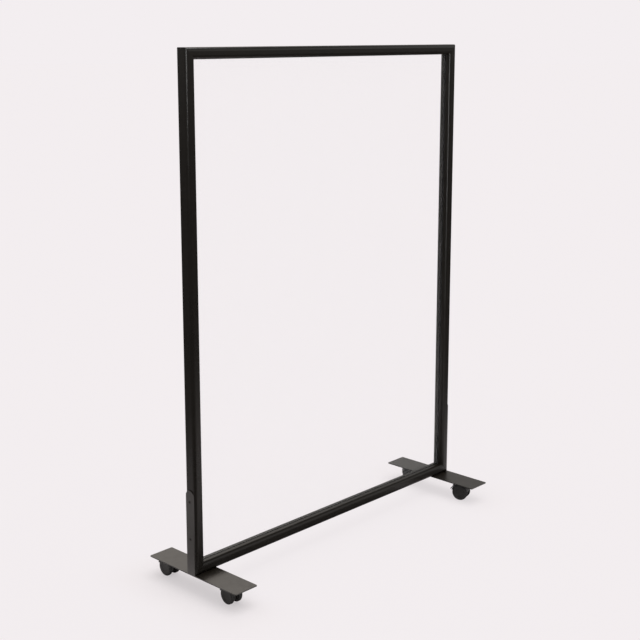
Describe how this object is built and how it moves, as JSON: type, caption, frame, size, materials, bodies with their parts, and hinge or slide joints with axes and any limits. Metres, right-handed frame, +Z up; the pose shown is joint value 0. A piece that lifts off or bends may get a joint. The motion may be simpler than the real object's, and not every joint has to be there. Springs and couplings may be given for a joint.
{
  "type": "rolling partition",
  "caption": "Free-standing clear partition: a mitred rounded-tube frame round a clear sheet, on two foot plates with swivel twin-wheel casters.",
  "frame": {"origin": "on the floor under the middle of the frame", "axes": "+Z up, +X along the frame's width, +Y to the back, square to the panel"},
  "size_m": [1.1, 0.35, 1.45],
  "materials": {
    "tube_paint": "satin powder coat",
    "plate_paint": "satin powder coat",
    "clear_sheet": "clear, polished",
    "gasket_rubber": "matt",
    "fastener_steel": "satin black",
    "bare_steel": "turned",
    "key_aluminium": "as cut",
    "bush_bronze": "plain",
    "housing_plastic": "fine grain",
    "hub_plastic": "fine grain",
    "tread_rubber": "matt"
  },
  "bodies": {
    "frame": {"left_post": "tube_paint", "right_post": "tube_paint", "top_rail": "tube_paint", "bottom_rail": "tube_paint", "top_left_key": "key_aluminium", "top_right_key": "key_aluminium", "bottom_left_key": "key_aluminium", "bottom_right_key": "key_aluminium", "clear_panel": "clear_sheet", "left_gasket": "gasket_rubber", "right_gasket": "gasket_rubber", "top_gasket": "gasket_rubber", "bottom_gasket": "gasket_rubber", "left_foot_plate": "plate_paint", "right_foot_plate": "plate_paint", "left_foot_tab": "plate_paint", "right_foot_tab": "plate_paint", "tab_screws": "fastener_steel", "tab_rivet_nuts": "bare_steel", "foot_screws": "fastener_steel", "front_left_stem": "bare_steel", "back_left_stem": "bare_steel", "front_right_stem": "bare_steel", "back_right_stem": "bare_steel"},
    "front_left_swivel": {"front_left_bush": "bush_bronze", "front_left_housing": "housing_plastic", "front_left_axle": "bare_steel", "front_left_lever_pin": "bare_steel"},
    "front_left_wheel_a": {"front_left_hub_a": "hub_plastic", "front_left_tread_a": "tread_rubber"},
    "front_left_wheel_b": {"front_left_hub_b": "hub_plastic", "front_left_tread_b": "tread_rubber"},
    "front_left_brake_lever": {"front_left_lever": "housing_plastic"},
    "back_left_swivel": {"back_left_bush": "bush_bronze", "back_left_housing": "housing_plastic", "back_left_axle": "bare_steel"},
    "back_left_wheel_a": {"back_left_hub_a": "hub_plastic", "back_left_tread_a": "tread_rubber"},
    "back_left_wheel_b": {"back_left_hub_b": "hub_plastic", "back_left_tread_b": "tread_rubber"},
    "front_right_swivel": {"front_right_bush": "bush_bronze", "front_right_housing": "housing_plastic", "front_right_axle": "bare_steel", "front_right_lever_pin": "bare_steel"},
    "front_right_wheel_a": {"front_right_hub_a": "hub_plastic", "front_right_tread_a": "tread_rubber"},
    "front_right_wheel_b": {"front_right_hub_b": "hub_plastic", "front_right_tread_b": "tread_rubber"},
    "front_right_brake_lever": {"front_right_lever": "housing_plastic"},
    "back_right_swivel": {"back_right_bush": "bush_bronze", "back_right_housing": "housing_plastic", "back_right_axle": "bare_steel"},
    "back_right_wheel_a": {"back_right_hub_a": "hub_plastic", "back_right_tread_a": "tread_rubber"},
    "back_right_wheel_b": {"back_right_hub_b": "hub_plastic", "back_right_tread_b": "tread_rubber"}
  },
  "joints": [
    {"name": "front_left_swivel_turn", "type": "hinge", "parent": "frame", "child": "front_left_swivel", "pos_m": [-0.507, -0.127, 0.04], "axis": [0, 0, 1], "continuous": true},
    {"name": "front_left_wheel_a_spin", "type": "hinge", "parent": "front_left_swivel", "child": "front_left_wheel_a", "pos_m": [-0.49292, -0.11195, 0.025], "axis": [-0.9976, 0.0698, 0], "continuous": true},
    {"name": "front_left_wheel_b_spin", "type": "hinge", "parent": "front_left_swivel", "child": "front_left_wheel_b", "pos_m": [-0.51885, -0.11013, 0.025], "axis": [-0.9976, 0.0698, 0], "continuous": true},
    {"name": "front_left_brake_tilt", "type": "hinge", "parent": "front_left_swivel", "child": "front_left_brake_lever", "pos_m": [-0.50436, -0.08926, 0.04572], "axis": [0.9976, -0.0698, 0], "range_deg": [0, 18]},
    {"name": "back_left_swivel_turn", "type": "hinge", "parent": "frame", "child": "back_left_swivel", "pos_m": [-0.507, 0.127, 0.04], "axis": [0, 0, 1], "continuous": true},
    {"name": "back_left_wheel_a_spin", "type": "hinge", "parent": "back_left_swivel", "child": "back_left_wheel_a", "pos_m": [-0.49345, 0.14254, 0.025], "axis": [-0.9994, 0.0349, 0], "continuous": true},
    {"name": "back_left_wheel_b_spin", "type": "hinge", "parent": "back_left_swivel", "child": "back_left_wheel_b", "pos_m": [-0.51943, 0.14344, 0.025], "axis": [-0.9994, 0.0349, 0], "continuous": true},
    {"name": "front_right_swivel_turn", "type": "hinge", "parent": "frame", "child": "front_right_swivel", "pos_m": [0.507, -0.127, 0.04], "axis": [0, 0, 1], "continuous": true},
    {"name": "front_right_wheel_a_spin", "type": "hinge", "parent": "front_right_swivel", "child": "front_right_wheel_a", "pos_m": [0.51509, -0.10804, 0.025], "axis": [-0.9613, -0.2756, 0], "continuous": true},
    {"name": "front_right_wheel_b_spin", "type": "hinge", "parent": "front_right_swivel", "child": "front_right_wheel_b", "pos_m": [0.49009, -0.1152, 0.025], "axis": [-0.9613, -0.2756, 0], "continuous": true},
    {"name": "front_right_brake_tilt", "type": "hinge", "parent": "front_right_swivel", "child": "front_right_brake_lever", "pos_m": [0.49657, -0.09063, 0.04572], "axis": [0.9613, 0.2756, 0], "range_deg": [0, 18]},
    {"name": "back_right_swivel_turn", "type": "hinge", "parent": "frame", "child": "back_right_swivel", "pos_m": [0.507, 0.127, 0.04], "axis": [0, 0, 1], "continuous": true},
    {"name": "back_right_wheel_a_spin", "type": "hinge", "parent": "back_right_swivel", "child": "back_right_wheel_a", "pos_m": [0.50733, 0.10639, 0.025], "axis": [0.766, 0.6428, 0], "continuous": true},
    {"name": "back_right_wheel_b_spin", "type": "hinge", "parent": "back_right_swivel", "child": "back_right_wheel_b", "pos_m": [0.52724, 0.1231, 0.025], "axis": [0.766, 0.6428, 0], "continuous": true}
  ]
}
